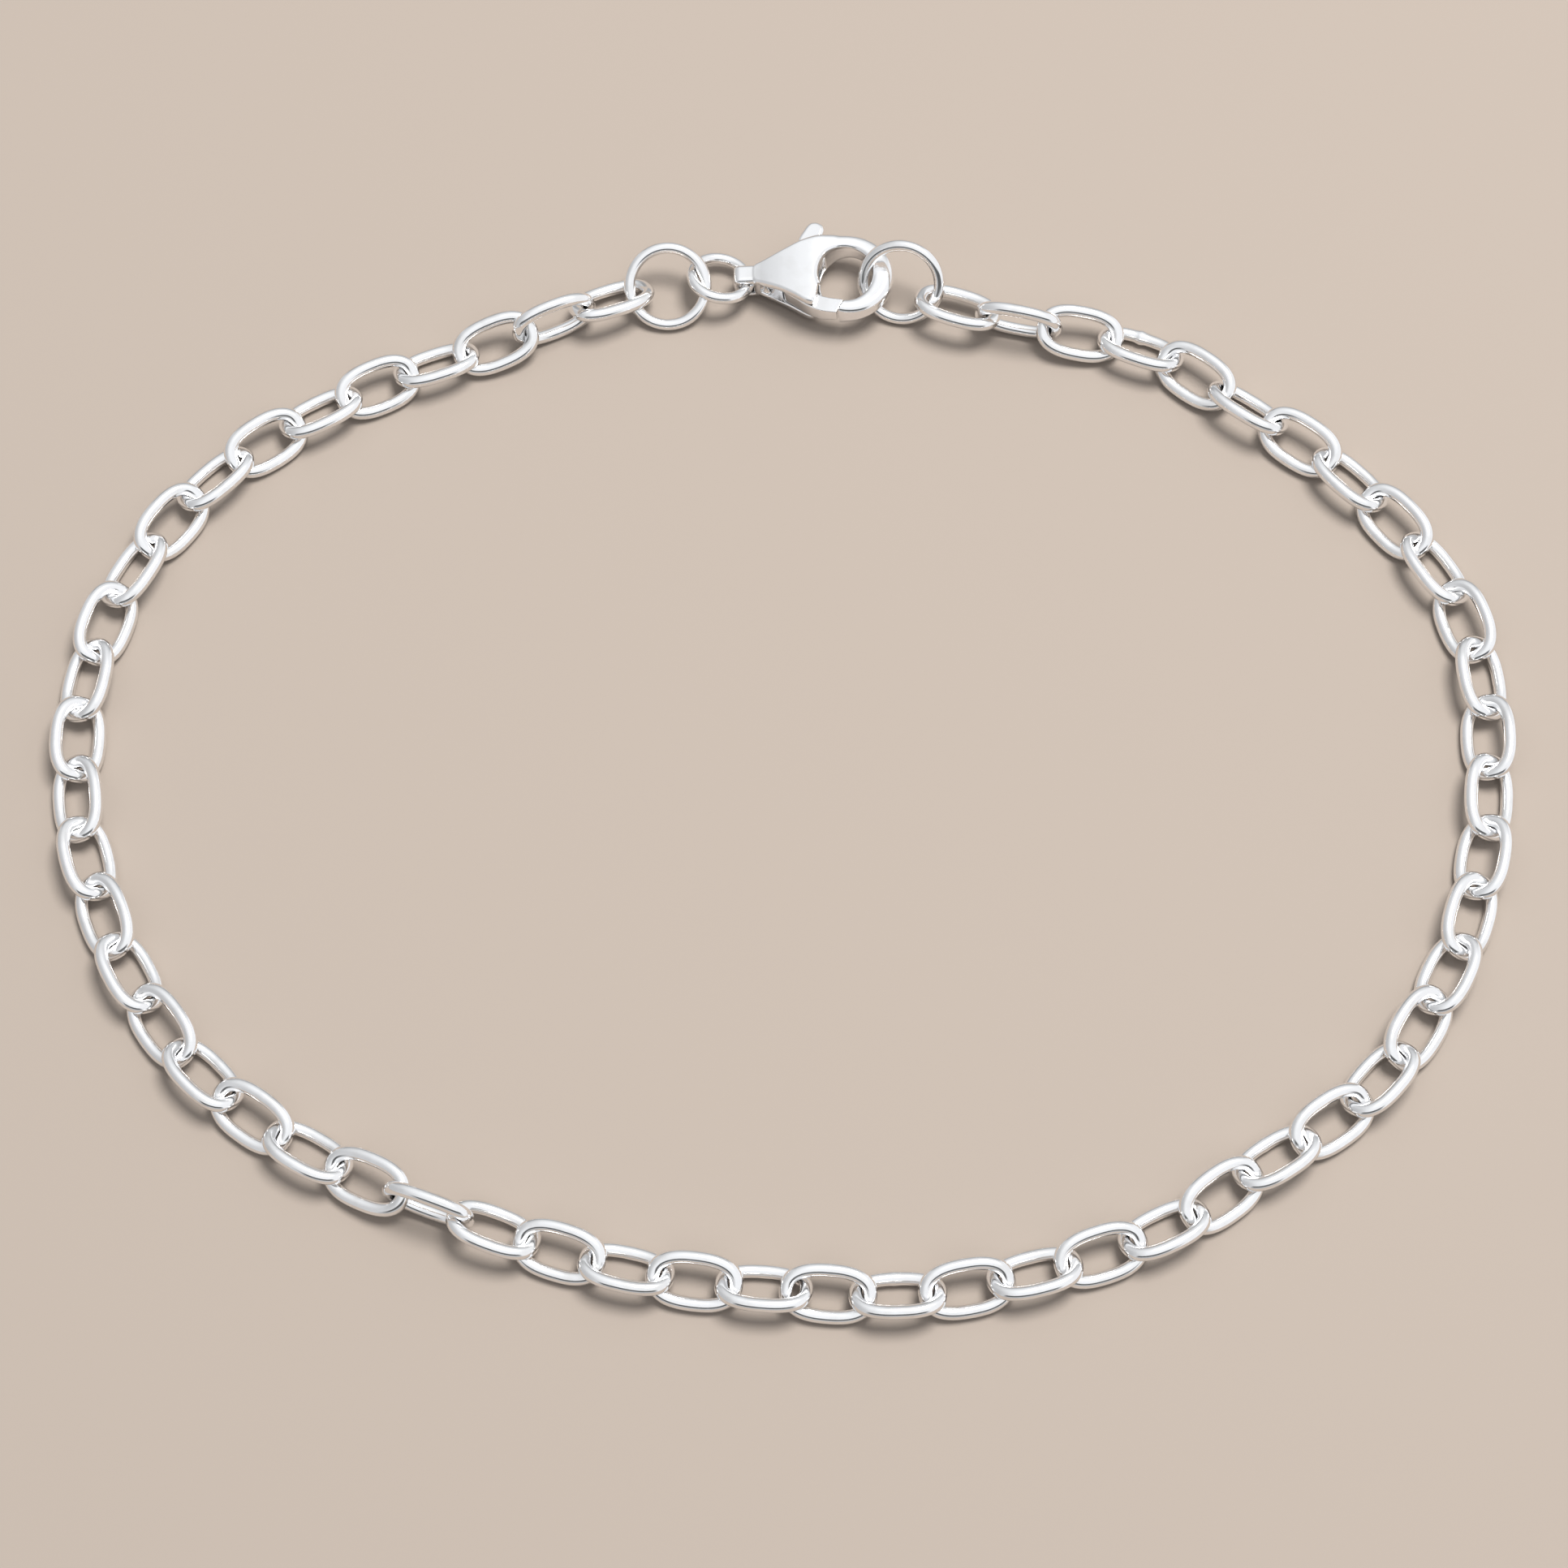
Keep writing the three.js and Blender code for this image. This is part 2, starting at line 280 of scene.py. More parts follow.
@dataclass(frozen=True)
class ChainLay:
    """Where each link of the chain lies, clockwise from the clasp's hook round to its tail.

    Attributes:
        plan: The line that the chain lies along.
        pitch: Straight length from one link's bearing place to the next.
        run_links: Links in each of the two runs.
        run_slack: How much deeper the two runs' last links hang in each other.
        lean: Degrees that a link leans from flat, to one side and the other by turns.
        upright: Links on edge, where the side that the chain leans to changes over.
        otherwise: Links that lie unlike the rest.
        half_width: Half of a link's width, to the middle of the wire.
        wire_radius: Radius of the wire.
        fineness: Points that the line has for each row of its plan.
    """

    plan: tuple[PlanRow, ...] = (
        PlanRow(74.4, 26.35),
        PlanRow(64, 26.72),
        PlanRow(52, 29),
        PlanRow(41, 29.7),
        PlanRow(30, 31.5),
        PlanRow(15, 33.5),
        PlanRow(0, 33.2),
        PlanRow(-15, 32.5),
        PlanRow(-30, 31.2),
        PlanRow(-42, 29.1),
        PlanRow(-55, 28.1),
        PlanRow(-75, 26.4),
        PlanRow(-90, 25.34),
        PlanRow(-105, 25.4),
        PlanRow(-120, 26.1),
        PlanRow(-135, 28.1),
        PlanRow(-150, 30.6),
        PlanRow(-165, 32.25),
        PlanRow(-180, 33.4),
        PlanRow(-195, 33.4),
        PlanRow(-210, 31.7),
        PlanRow(-225, 28.95),
        PlanRow(-240, 26.9),
        PlanRow(-255, 27.1),
    )
    pitch: float = 3.1
    run_links: int = 28
    run_slack: float = 0.22
    lean: float = 29.0
    upright: tuple[int, ...] = (2, 34, 55)
    otherwise: tuple[LyingRow, ...] = (
        LyingRow(1, -22, 0.6, 0.5),
        LyingRow(2, -84, 0, 0),
        LyingRow(3, 29, 0.4, 0),
        LyingRow(5, 29, 0, 0.1),
        LyingRow(6, -40, 0, 0),
        LyingRow(7, 29, 0.1, 0),
        LyingRow(33, 29, 0, 0.45),
        LyingRow(34, 90, 0, 0),
        LyingRow(35, -29, 0.45, 0),
        LyingRow(54, 29, 0, 0.45),
        LyingRow(55, 82, 0, 0),
        LyingRow(56, -29, 0.4, 0),
    )
    half_width: float = 1.06
    wire_radius: float = 0.3
    fineness: int = 60

    def line(self) -> Array:
        """Gives closely spaced points on the chain's line.

        Returns:
            An array of points, one row each.
        """
        azimuths = np.radians([row.azimuth for row in self.plan])
        radii = np.array([row.radius for row in self.plan], float)
        corners = np.stack([radii * np.cos(azimuths), radii * np.sin(azimuths), 0 * radii], axis=1)
        ends = np.vstack([2 * corners[0] - corners[1], corners, 2 * corners[-1] - corners[-2]])
        spans = len(corners) - 1
        steps = np.linspace(0, spans, len(corners) * self.fineness + 1)
        span = np.minimum(steps.astype(int), spans - 1)
        t = (steps - span)[:, None]
        before, start, end, after = (ends[span + k] for k in range(4))
        leave, arrive = (end - before) / 2, (after - start) / 2
        cubic = 2 * start - 2 * end + leave + arrive
        square = 3 * (end - start) - 2 * leave - arrive
        return ((cubic * t + square) * t + leave) * t + start

    def joints(self, start: Array) -> list[Array]:
        """Steps along the line, one pitch at a time.

        Args:
            start: The first bearing place.

        Returns:
            The bearing places of one run's links.
        """
        line = self.line()
        ahead = int(np.argmin(np.linalg.norm(line - start, axis=1)))
        found = [start]
        while len(found) <= self.run_links:
            last = found[-1]
            while ahead < len(line) - 1 and np.linalg.norm(line[ahead] - last) < self.pitch:
                ahead += 1
            step = line[ahead] - last
            found.append(last + step / np.linalg.norm(step) * self.pitch)
        return found

    def lying(self, link: int) -> LyingRow:
        """Says how a link lies.

        Args:
            link: The link's number, from 1 at the hook's ring.

        Returns:
            Its lean and lifts.
        """
        for row in self.otherwise:
            if row.link == link:
                return row
        changes = sum(upright < link for upright in self.upright)
        return LyingRow(link, self.lean * (-1) ** (link + changes), 0, 0)

    def place(self, link: int, start: Array, end: Array) -> Matrix:
        """Finds a link's place and turn.

        Args:
            link: The link's number.
            start: Where it bears on the link before it.
            end: Where it bears on the link after it.

        Returns:
            A matrix in millimetres, with the link's length along X and its width along Y.
        """
        row = self.lying(link)
        tilt = math.radians(row.lean)
        rest = self.half_width * abs(math.sin(tilt)) + self.wire_radius
        first = Vector((start[0], start[1], rest + row.lift_start))
        last = Vector((end[0], end[1], rest + row.lift_end))
        along = (last - first).normalized()
        outward = Vector((-along.y, along.x, 0.0)).normalized()
        across = outward * math.cos(tilt) + along.cross(outward) * math.sin(tilt)
        up = along.cross(across)
        turned = Matrix((along, across, up)).transposed().to_4x4()
        return Matrix.Translation((first + last) / 2 + Vector(LOOP_SHIFT)) @ turned

    def runs(self) -> tuple[list[Matrix], list[Matrix]]:
        """Places all the links.

        Returns:
            The right run's places and the left run's.
        """
        right = self.joints(self.line()[0])
        meeting = right[-1] + (right[-2] - right[-1]) * (self.run_slack / self.pitch)
        left = self.joints(meeting)
        count = self.run_links
        return (
            [self.place(i + 1, right[i], right[i + 1]) for i in range(count)],
            [self.place(count + i + 1, left[i], left[i + 1]) for i in range(count)],
        )


# Wire: links and rings


class WireTree(Nodes):
    """The node tree that bends round wire into closed links and sets one at each point of a mesh."""

    SIZES = (
        ("Half length", "NodeSocketFloat"),
        ("Half width", "NodeSocketFloat"),
        ("Bluntness", "NodeSocketFloat"),
        ("Wire radius", "NodeSocketFloat"),
        ("Steps round", "NodeSocketInt"),
        ("Wire sides", "NodeSocketInt"),
        ("Unevenness", "NodeSocketFloat"),
        ("Seam length", "NodeSocketFloat"),
        ("Seed", "NodeSocketFloat"),
        ("Finish", "NodeSocketMaterial"),
    )
    OVAL_STEPS = 240
    UNEVEN_SCALE = 650.0  # bumps to a metre

    def __init__(self) -> None:
        """Builds the tree."""
        super().__init__(bpy.data.node_groups.new("bent_wire", "GeometryNodeTree"))
        ports = self.tree.interface
        ports.new_socket("Places", in_out="INPUT", socket_type="NodeSocketGeometry")
        for name, kind in self.SIZES:
            ports.new_socket(name, in_out="INPUT", socket_type=kind)
        ports.new_socket("Wire", in_out="OUTPUT", socket_type="NodeSocketGeometry")
        self.given = self.add("NodeGroupInput", {}).outputs
        self.join()

    def blunt(self, wave: Socket, reach: Socket) -> Socket:
        """Turns a sine or cosine into a blunt oval's coordinate.

        Args:
            wave: The sine or cosine.
            reach: Half of the oval's length or width.

        Returns:
            The coordinate.
        """
        power = self.sum("DIVIDE", 2.0, self.given["Bluntness"])
        size = self.sum("POWER", self.sum("ABSOLUTE", wave), power)
        return self.sum("MULTIPLY", self.sum("MULTIPLY", size, self.sum("SIGN", wave)), reach)

    def attribute(self, name: str, kind: str) -> Socket:
        """Reads a named attribute.

        Args:
            name: The attribute's name.
            kind: Its data type.

        Returns:
            Its value.
        """
        made = self.add("GeometryNodeInputNamedAttribute", {"Name": name}, data_type=kind)
        return made.outputs["Attribute"]

    def join(self) -> None:
        """Joins the tree's parts: wire, places, solder seams and finish."""
        links = self.set_in_place(self.wire(self.oval()))
        uneven = self.add("GeometryNodeSetPosition", {"Geometry": links, "Offset": self.swelling()})
        smooth = self.add("GeometryNodeSetShadeSmooth", {"Geometry": uneven.outputs["Geometry"]})
        fed = {"Geometry": smooth.outputs["Geometry"], "Material": self.given["Finish"]}
        dressed = self.add("GeometryNodeSetMaterial", fed)
        self.add("NodeGroupOutput", {"Wire": dressed.outputs["Geometry"]})

    def oval(self) -> Socket:
        """Draws a link's middle line, evenly stepped and marked with the share of the way round.

        Returns:
            The closed curve.
        """
        circle = self.add("GeometryNodeCurvePrimitiveCircle", {"Resolution": self.OVAL_STEPS, "Radius": 1.0})
        turn = self.sum("MULTIPLY", self.add("GeometryNodeSplineParameter", {}).outputs["Factor"], math.tau)
        x = self.blunt(self.sum("COSINE", turn), self.given["Half length"])
        y = self.blunt(self.sum("SINE", turn), self.given["Half width"])
        corner = self.add("ShaderNodeCombineXYZ", {"X": x, "Y": y})
        fed = {"Geometry": circle.outputs["Curve"], "Position": corner.outputs["Vector"]}
        oval = self.add("GeometryNodeSetPosition", fed)
        fed = {"Curve": oval.outputs["Geometry"], "Count": self.given["Steps round"]}
        even = self.add("GeometryNodeResampleCurve", fed)
        share = self.add("GeometryNodeSplineParameter", {}).outputs["Factor"]
        fed = {"Geometry": even.outputs["Curve"], "Name": "round", "Value": share}
        marked = self.add("GeometryNodeStoreNamedAttribute", fed, data_type="FLOAT", domain="POINT")
        return marked.outputs["Geometry"]

    def wire(self, line: Socket) -> Socket:
        """Draws round wire along a link's middle line.

        Args:
            line: The closed curve.

        Returns:
            The link's mesh.
        """
        fed = {"Resolution": self.given["Wire sides"], "Radius": self.given["Wire radius"]}
        section = self.add("GeometryNodeCurvePrimitiveCircle", fed)
        fed = {"Curve": line, "Profile Curve": section.outputs["Curve"]}
        return self.add("GeometryNodeCurveToMesh", fed).outputs["Mesh"]

    def set_in_place(self, link: Socket) -> Socket:
        """Sets a link, turned as it lies, at each of the places.

        Args:
            link: The link's mesh.

        Returns:
            The mesh of all the links.
        """
        turned = self.add("FunctionNodeEulerToRotation", {"Euler": self.attribute("turn", "FLOAT_VECTOR")})
        fed = {"Points": self.given["Places"], "Instance": link, "Rotation": turned.outputs["Rotation"]}
        placed = self.add("GeometryNodeInstanceOnPoints", fed)
        real = self.add("GeometryNodeRealizeInstances", {"Geometry": placed.outputs["Instances"]})
        return real.outputs["Geometry"]

    def swelling(self) -> Socket:
        """Works out how far the skin moves for the solder seam's bead and the wire's unevenness.

        Returns:
            The move, along the skin's direction.
        """
        away = self.sum("SUBTRACT", self.attribute("round", "FLOAT"), self.attribute("seam", "FLOAT"))
        share = self.sum("DIVIDE", away, self.given["Seam length"])
        bell = self.sum("EXPONENT", self.sum("MULTIPLY", self.sum("MULTIPLY", share, share), -1.0))
        bead = self.sum("MULTIPLY", bell, self.attribute("swelling", "FLOAT"))
        fed = {"W": self.given["Seed"], "Scale": self.UNEVEN_SCALE, "Detail": 1.0}
        noise = self.add("ShaderNodeTexNoise", fed, noise_dimensions="4D")
        centred = self.sum("SUBTRACT", noise.outputs[0], 0.5)
        rough = self.sum("MULTIPLY", centred, self.given["Unevenness"])
        outwards = self.add("GeometryNodeInputNormal", {}).outputs["Normal"]
        fed = {0: outwards, "Scale": self.sum("ADD", bead, rough)}
        return self.add("ShaderNodeVectorMath", fed, operation="SCALE").outputs["Vector"]

    def bend(
        self, name: str, places: list[Matrix], seams: list[SeamRow], sizes: dict[str, object]
    ) -> bpy.types.Object:
        """Bends wire at each place and gives it back as one plain mesh.

        Args:
            name: The finished object's name.
            places: Where the links lie, in millimetres.
            seams: The solder seam of each, in the same order.
            sizes: Values of the tree's named inputs.

        Returns:
            The finished object, in metres.
        """
        points = bpy.data.meshes.new(name + "_places")
        points.from_pydata([place.to_translation() * MM for place in places], [], [])
        turn = points.attributes.new("turn", "FLOAT_VECTOR", "POINT")
        turn.data.foreach_set("vector", np.array([place.to_euler("XYZ") for place in places]).ravel())
        marks = {"seam": [seam.place for seam in seams], "swelling": [seam.swelling * MM for seam in seams]}
        for label, values in marks.items():
            points.attributes.new(label, "FLOAT", "POINT").data.foreach_set("value", values)
        carrier = bpy.data.objects.new(name + "_carrier", points)
        bpy.context.scene.collection.objects.link(carrier)
        modifier = carrier.modifiers.new("wire", "NODES")
        modifier.node_group = self.tree
        for item in self.tree.interface.items_tree:
            if item.in_out == "INPUT" and item.name in sizes:
                modifier[item.identifier] = sizes[item.name]
        bpy.context.view_layer.update()
        evaluated = carrier.evaluated_get(bpy.context.evaluated_depsgraph_get())
        mesh = bpy.data.meshes.new_from_object(evaluated)
        bpy.data.objects.remove(carrier)
        bpy.data.meshes.remove(points)
        mesh.materials.clear()
        mesh.materials.append(sizes["Finish"])
        mesh.name = name
        made = bpy.data.objects.new(name, mesh)
        bpy.context.scene.collection.objects.link(made)
        return made


@dataclass
class CableChain:
    """The chain: two runs of oval links, each hanging in the next."""

    lay: ChainLay
    length: float = 4.42  # outside, as the width
    width: float = 2.77
    wire: float = 0.65  # diameter
    bluntness: float = 2.5  # 2 is an ellipse
    seams: tuple[SeamRow, ...] = (
        SeamRow(4, 0.275, 0.07),
        SeamRow(21, 0.75, 0.02),
        SeamRow(27, 0.76, 0.018),
    )
    faint_seam: float = 0.006  # swelling of every other link's seam
    seam_length: float = 0.018  # share of the way round
    steps: int = 76
    sides: int = 26

    def seam(self, link: int) -> SeamRow:
        """Gives a link's solder seam.

        Args:
            link: The link's number.

        Returns:
            Its place and swelling.
        """
        for row in self.seams:
            if row.link == link:
                return row
        return SeamRow(link, 0.75 if link % 3 else 0.25, self.faint_seam)

    def build(self, tree: WireTree, finish: bpy.types.Material) -> list[bpy.types.Object]:
        """Bends both runs' links.

        Args:
            tree: The wire tree.
            finish: The wire's material.

        Returns:
            The two runs.
        """
        sizes = {
            "Half length": (self.length - self.wire) / 2 * MM,
            "Half width": (self.width - self.wire) / 2 * MM,
            "Bluntness": self.bluntness,
            "Wire radius": self.wire / 2 * MM,
            "Steps round": self.steps,
            "Wire sides": self.sides,
            "Unevenness": UNEVENNESS * MM,
            "Seam length": self.seam_length,
            "Seed": 3.0,
            "Finish": finish,
        }
        made = []
        first = 1
        for node, places in zip(("chain_right", "chain_left"), self.lay.runs()):
            seams = [self.seam(first + i) for i in range(len(places))]
            run = tree.bend(node.replace("chain", "links"), places, seams, sizes)
            fix(run, Body.BRACELET, node)
            made.append(run)
            first += len(places)
        return made


@dataclass(frozen=True)
class JumpRing:
    """A round ring of wire."""

    node: str
    radius: float  # to the middle of the wire
    centre: Triple
    rise: Pair  # how steeply it rises along X and along Y
    wire: float = 0.57  # diameter
    seam: SeamRow = SeamRow(0, 0.5, 0.004)
    seam_length: float = 0.012
    steps: int = 128
    sides: int = 32

    def build(self, tree: WireTree, finish: bpy.types.Material) -> bpy.types.Object:
        """Bends the ring.

        Args:
            tree: The wire tree.
            finish: The wire's material.

        Returns:
            The ring.
        """
        normal = Vector((-self.rise[0], -self.rise[1], 1.0)).normalized()
        turned = Vector((0.0, 0.0, 1.0)).rotation_difference(normal).to_matrix().to_4x4()
        place = Matrix.Translation(Vector(self.centre) + Vector(LOOP_SHIFT)) @ turned
        sizes = {
            "Half length": self.radius * MM,
            "Half width": self.radius * MM,
            "Bluntness": 2.0,
            "Wire radius": self.wire / 2 * MM,
            "Steps round": self.steps,
            "Wire sides": self.sides,
            "Unevenness": UNEVENNESS * MM,
            "Seam length": self.seam_length,
            "Seed": 7.0,
            "Finish": finish,
        }
        ring = tree.bend(self.node.replace("ring", "wire"), [place], [self.seam], sizes)
        fix(ring, Body.BRACELET, self.node)
        return ring


RINGS = (
    JumpRing("jump_ring_right", 1.91, (5.766, 26.055, 1.75), (0.289, 1.225)),
    JumpRing("jump_ring_left", 1.9, (-5.829, 26.149, 1.223), (0.004, 0.572)),
    JumpRing("tail_ring", 1.43, (-3.225, 26.671, 1.127), (-0.18, -0.276)),
)


# Castings


def soft_union(first: Array, second: Array, blend: float) -> Array:
    """Joins two solids with a fillet.

    Args:
        first: Distances to one solid.
        second: Distances to the other.
        blend: Size of the fillet.

    Returns:
        Distances to both together.
    """
    share = np.clip(0.5 + 0.5 * (second - first) / blend, 0.0, 1.0)
    return second + (first - second) * share - blend * share * (1 - share)


def soft_cut(solid: Array, tool: Array, blend: float) -> Array:
    """Cuts one solid by another, with the new edges eased.

    Args:
        solid: Distances to the solid.
        tool: Distances to what is cut away.
        blend: How much the edges are eased.

    Returns:
        Distances to what is left.
    """
    return -soft_union(-solid, tool, blend)


def slab(plan: Array, height: Array, half: Array, edge: Array | float) -> Array:
    """Gives a plate's solid from its outline, with rounded edges.

    Args:
        plan: Distances to the outline.
        height: Height over the middle plane.
        half: Half of the plate's thickness.
        edge: Radius of its edges.

    Returns:
        Distances to the plate.
    """
    side = plan + edge
    top = np.abs(height) - half + edge
    outside = np.sqrt(np.maximum(side, 0) ** 2 + np.maximum(top, 0) ** 2)
    return outside + np.minimum(np.maximum(side, top), 0) - edge


@dataclass(frozen=True)
class JawJoint:
    """The straight cut where the lever's jaw meets the hook's tip, seen from above."""

    place: Spot = Spot(5.54, -1.77)
    towards_jaw: Spot = Spot(-0.8824, 0.4706)  # square to the cut

    def past(self, along: Array, across: Array) -> Array:
        """Measures how far points lie to the jaw's side of the cut.

        Args:
            along: Places along the clasp.
            across: Places across it.

        Returns:
            The distances.
        """
        ahead = (along - self.place.along) * self.towards_jaw.along
        return ahead + (across - self.place.across) * self.towards_jaw.across


@dataclass(frozen=True)
class Outline:
    """A closed outline seen from above, with its corners eased."""

    rows: tuple[Spot, ...]
    easing: int = 3
    cut: float = 0.2  # share of a side that each easing cuts off

    def corners(self) -> Array:
        """Eases the corners.

        Returns:
            The eased outline's points.
        """
        points = np.array(self.rows, float)
        kept = 1 - self.cut
        for _ in range(self.easing):
            after = np.roll(points, -1, axis=0)
            cuts = [kept * points + self.cut * after, self.cut * points + kept * after]
            points = np.stack(cuts, axis=1).reshape(-1, 2)
        return points

    def distance(self, along: Array, across: Array) -> Array:
        """Measures how far points are from the outline, negative inside it.

        Args:
            along: The points' places along the clasp.
            across: Their places across it.

        Returns:
            The distances.
        """
        nearest = np.full(np.broadcast(along, across).shape, np.inf)
        inside = np.zeros(nearest.shape, bool)
        points = self.corners()
        for (u0, v0), (u1, v1) in zip(points, np.roll(points, -1, axis=0)):
            du, dv = u1 - u0, v1 - v0
            share = np.clip(((along - u0) * du + (across - v0) * dv) / (du * du + dv * dv + TINY), 0, 1)
            nearest = np.minimum(nearest, (along - u0 - share * du) ** 2 + (across - v0 - share * dv) ** 2)
            if v0 != v1:
                inside ^= ((v0 > across) != (v1 > across)) & (along < u0 + (across - v0) / dv * du)
        return np.where(inside, -1.0, 1.0) * np.sqrt(nearest)


@dataclass(frozen=True)
class Profile:
    """Half of a casting's height along it, eased between the rows."""

    rows: tuple[ProfileRow, ...]
    easing: float = 0.35  # length over which the line is eased
    readings: int = 9  # averaged over the easing

    def half(self, along: Array) -> Array:
        """Reads the eased line.

        Args:
            along: Places along the clasp.

        Returns:
            Half heights there.
        """
        places, halves = np.array(self.rows, float).T
        shifts = np.linspace(-0.5, 0.5, self.readings) * self.easing
        return sum(np.interp(along + shift, places, halves) for shift in shifts) / self.readings


def edge_crossings(values: Array) -> tuple[Array, Array]:
    """Finds where a field changes sign along the twelve edges of each grid cell.

    Args:
        values: The field at the grid's points.

    Returns:
        Each cell's crossings added up, measured from its low corner in cells, and how many it has.
    """
    cells = tuple(n - 1 for n in values.shape)
    total = np.zeros((*cells, 3))
    count = np.zeros(cells)

    def corner(shift: list[int]) -> Array:
        """Takes the field at one corner of each cell."""
        return values[tuple(slice(s, s + n) for s, n in zip(shift, cells))]

    for axis, side in itertools.product(range(3), range(4)):
        start = [side & 1, side >> 1]
        start.insert(axis, 0)
        end = list(start)
        end[axis] = 1
        near, far = corner(start), corner(end)
        crossed = (near < 0) != (far < 0)
        share = np.where(crossed, near / np.where(crossed, near - far, 1), 0)
        for k in range(3):
            total[..., k] += np.where(crossed, start[k] + (share if k == axis else 0), 0)
        count += crossed
    return total, count


def cell_faces(inside: Array, index: Array) -> Array:
    """Joins the four cells round each grid edge that the skin crosses.

    Args:
        inside: Which of the grid's points are inside.
        index: The number of each cell's point.

    Returns:
        The faces, facing outwards.
    """
    cells = index.shape
    faces = []
    for axis in range(3):
        first, second = (axis + 1) % 3, (axis + 2) % 3
        here = [slice(1, n) for n in cells]
        here[axis] = slice(0, cells[axis])
        ahead = list(here)
        ahead[axis] = slice(1, cells[axis] + 1)
        now, then = inside[tuple(here)], inside[tuple(ahead)]
        corners = []
        for back_first, back_second in ((1, 1), (0, 1), (0, 0), (1, 0)):
            part = [slice(0, n) for n in cells]
            part[first] = slice(1 - back_first, cells[first] - back_first)
            part[second] = slice(1 - back_second, cells[second] - back_second)
            corners.append(index[tuple(part)])
        quads = np.stack(corners, axis=-1)
        faces.append(quads[now & ~then])
        faces.append(quads[~now & then][:, ::-1])
    return np.vstack(faces)


@dataclass(frozen=True)
class Casting:
    """A cast piece of the clasp, kept as a distance field and skinned on a fine grid.

    The field's frame is the clasp's own: along from tail to hook, across to the far side, and height from
    the middle plane.
    """

    name: str = ""
    low: Triple = (0.0, 0.0, 0.0)  # the grid's corners
    high: Triple = (0.0, 0.0, 0.0)
    step: float = 0.05
    tail_place: Triple = (-2.47, 26.67, 0.0)
    pitch: float = 4.6  # degrees that the hook end is raised
    middle: float = 1.0  # height of the middle plane at the tail
    joint: JawJoint = JawJoint()

    def field(self, along: Array, across: Array, height: Array) -> Array:
        """Measures how far points are from the casting's skin.

        Args:
            along: The points' places along the clasp.
            across: Their places across it.
            height: Their heights over the middle plane.

        Returns:
            The distances, negative inside.
        """
        raise NotImplementedError

    def place(self) -> Matrix:
        """Finds the clasp's place in the bracelet.

        Returns:
            A matrix in millimetres, from the clasp's own frame.
        """
        foot = Matrix.Translation(Vector(self.tail_place) + Vector(LOOP_SHIFT))
        raised = Matrix.Rotation(-math.radians(self.pitch), 4, "Y")
        return foot @ raised @ Matrix.Translation((0, 0, self.middle))

    def slope(self, points: Array) -> Array:
        """Measures the field's slope at points, which is the skin's outward direction.

        Args:
            points: The points, one row each.

        Returns:
            Their slopes, of length 1.
        """
        reach = self.step * 0.3
        columns = []
        for axis in range(3):
            shift = np.zeros(3)
            shift[axis] = reach
            ahead, behind = (points + shift).T, (points - shift).T
            columns.append(self.field(*ahead) - self.field(*behind))
        slopes = np.stack(columns, axis=1)
        return slopes / (np.linalg.norm(slopes, axis=1, keepdims=True) + TINY)

    def skin(self) -> tuple[Array, Array]:
        """Finds the casting's skin, one point for each grid cell that it crosses.

        Returns:
            The points, and the faces with four of them each.
        """
        axes = [np.arange(low, high, self.step) for low, high in zip(self.low, self.high)]
        values = self.field(axes[0][:, None, None], axes[1][None, :, None], axes[2][None, None, :])
        total, count = edge_crossings(values)
        active = count > 0
        index = np.full(active.shape, -1)
        index[active] = np.arange(active.sum())
        origin = np.array([axis[0] for axis in axes])
        points = origin + (np.argwhere(active) + total[active] / count[active][:, None]) * self.step
        return points, cell_faces(values < 0, index)

    def build(self, body: Body, node: str, finish: bpy.types.Material) -> bpy.types.Object:
        """Skins the casting, draws each point onto the true skin, and dresses it.

        Args:
            body: The body it rides on.
            node: The node that it stands for.
            finish: Its material.

        Returns:
            The casting.
        """
        points, faces = self.skin()
        for _ in range(2):
            points -= self.slope(points) * self.field(*points.T)[:, None]
        normals = self.slope(points)
        place = np.array(self.place())
        mesh = bpy.data.meshes.new(self.name)
        mesh.from_pydata((points @ place[:3, :3].T + place[:3, 3]) * MM, [], faces.tolist())
        mesh.validate()
        mesh.materials.append(finish)
        mesh.shade_smooth()
        mesh.normals_split_custom_set_from_vertices((normals @ place[:3, :3].T).tolist())
        made = bpy.data.objects.new(self.name, mesh)
        bpy.context.scene.collection.objects.link(made)
        fix(made, body, node)
        return made


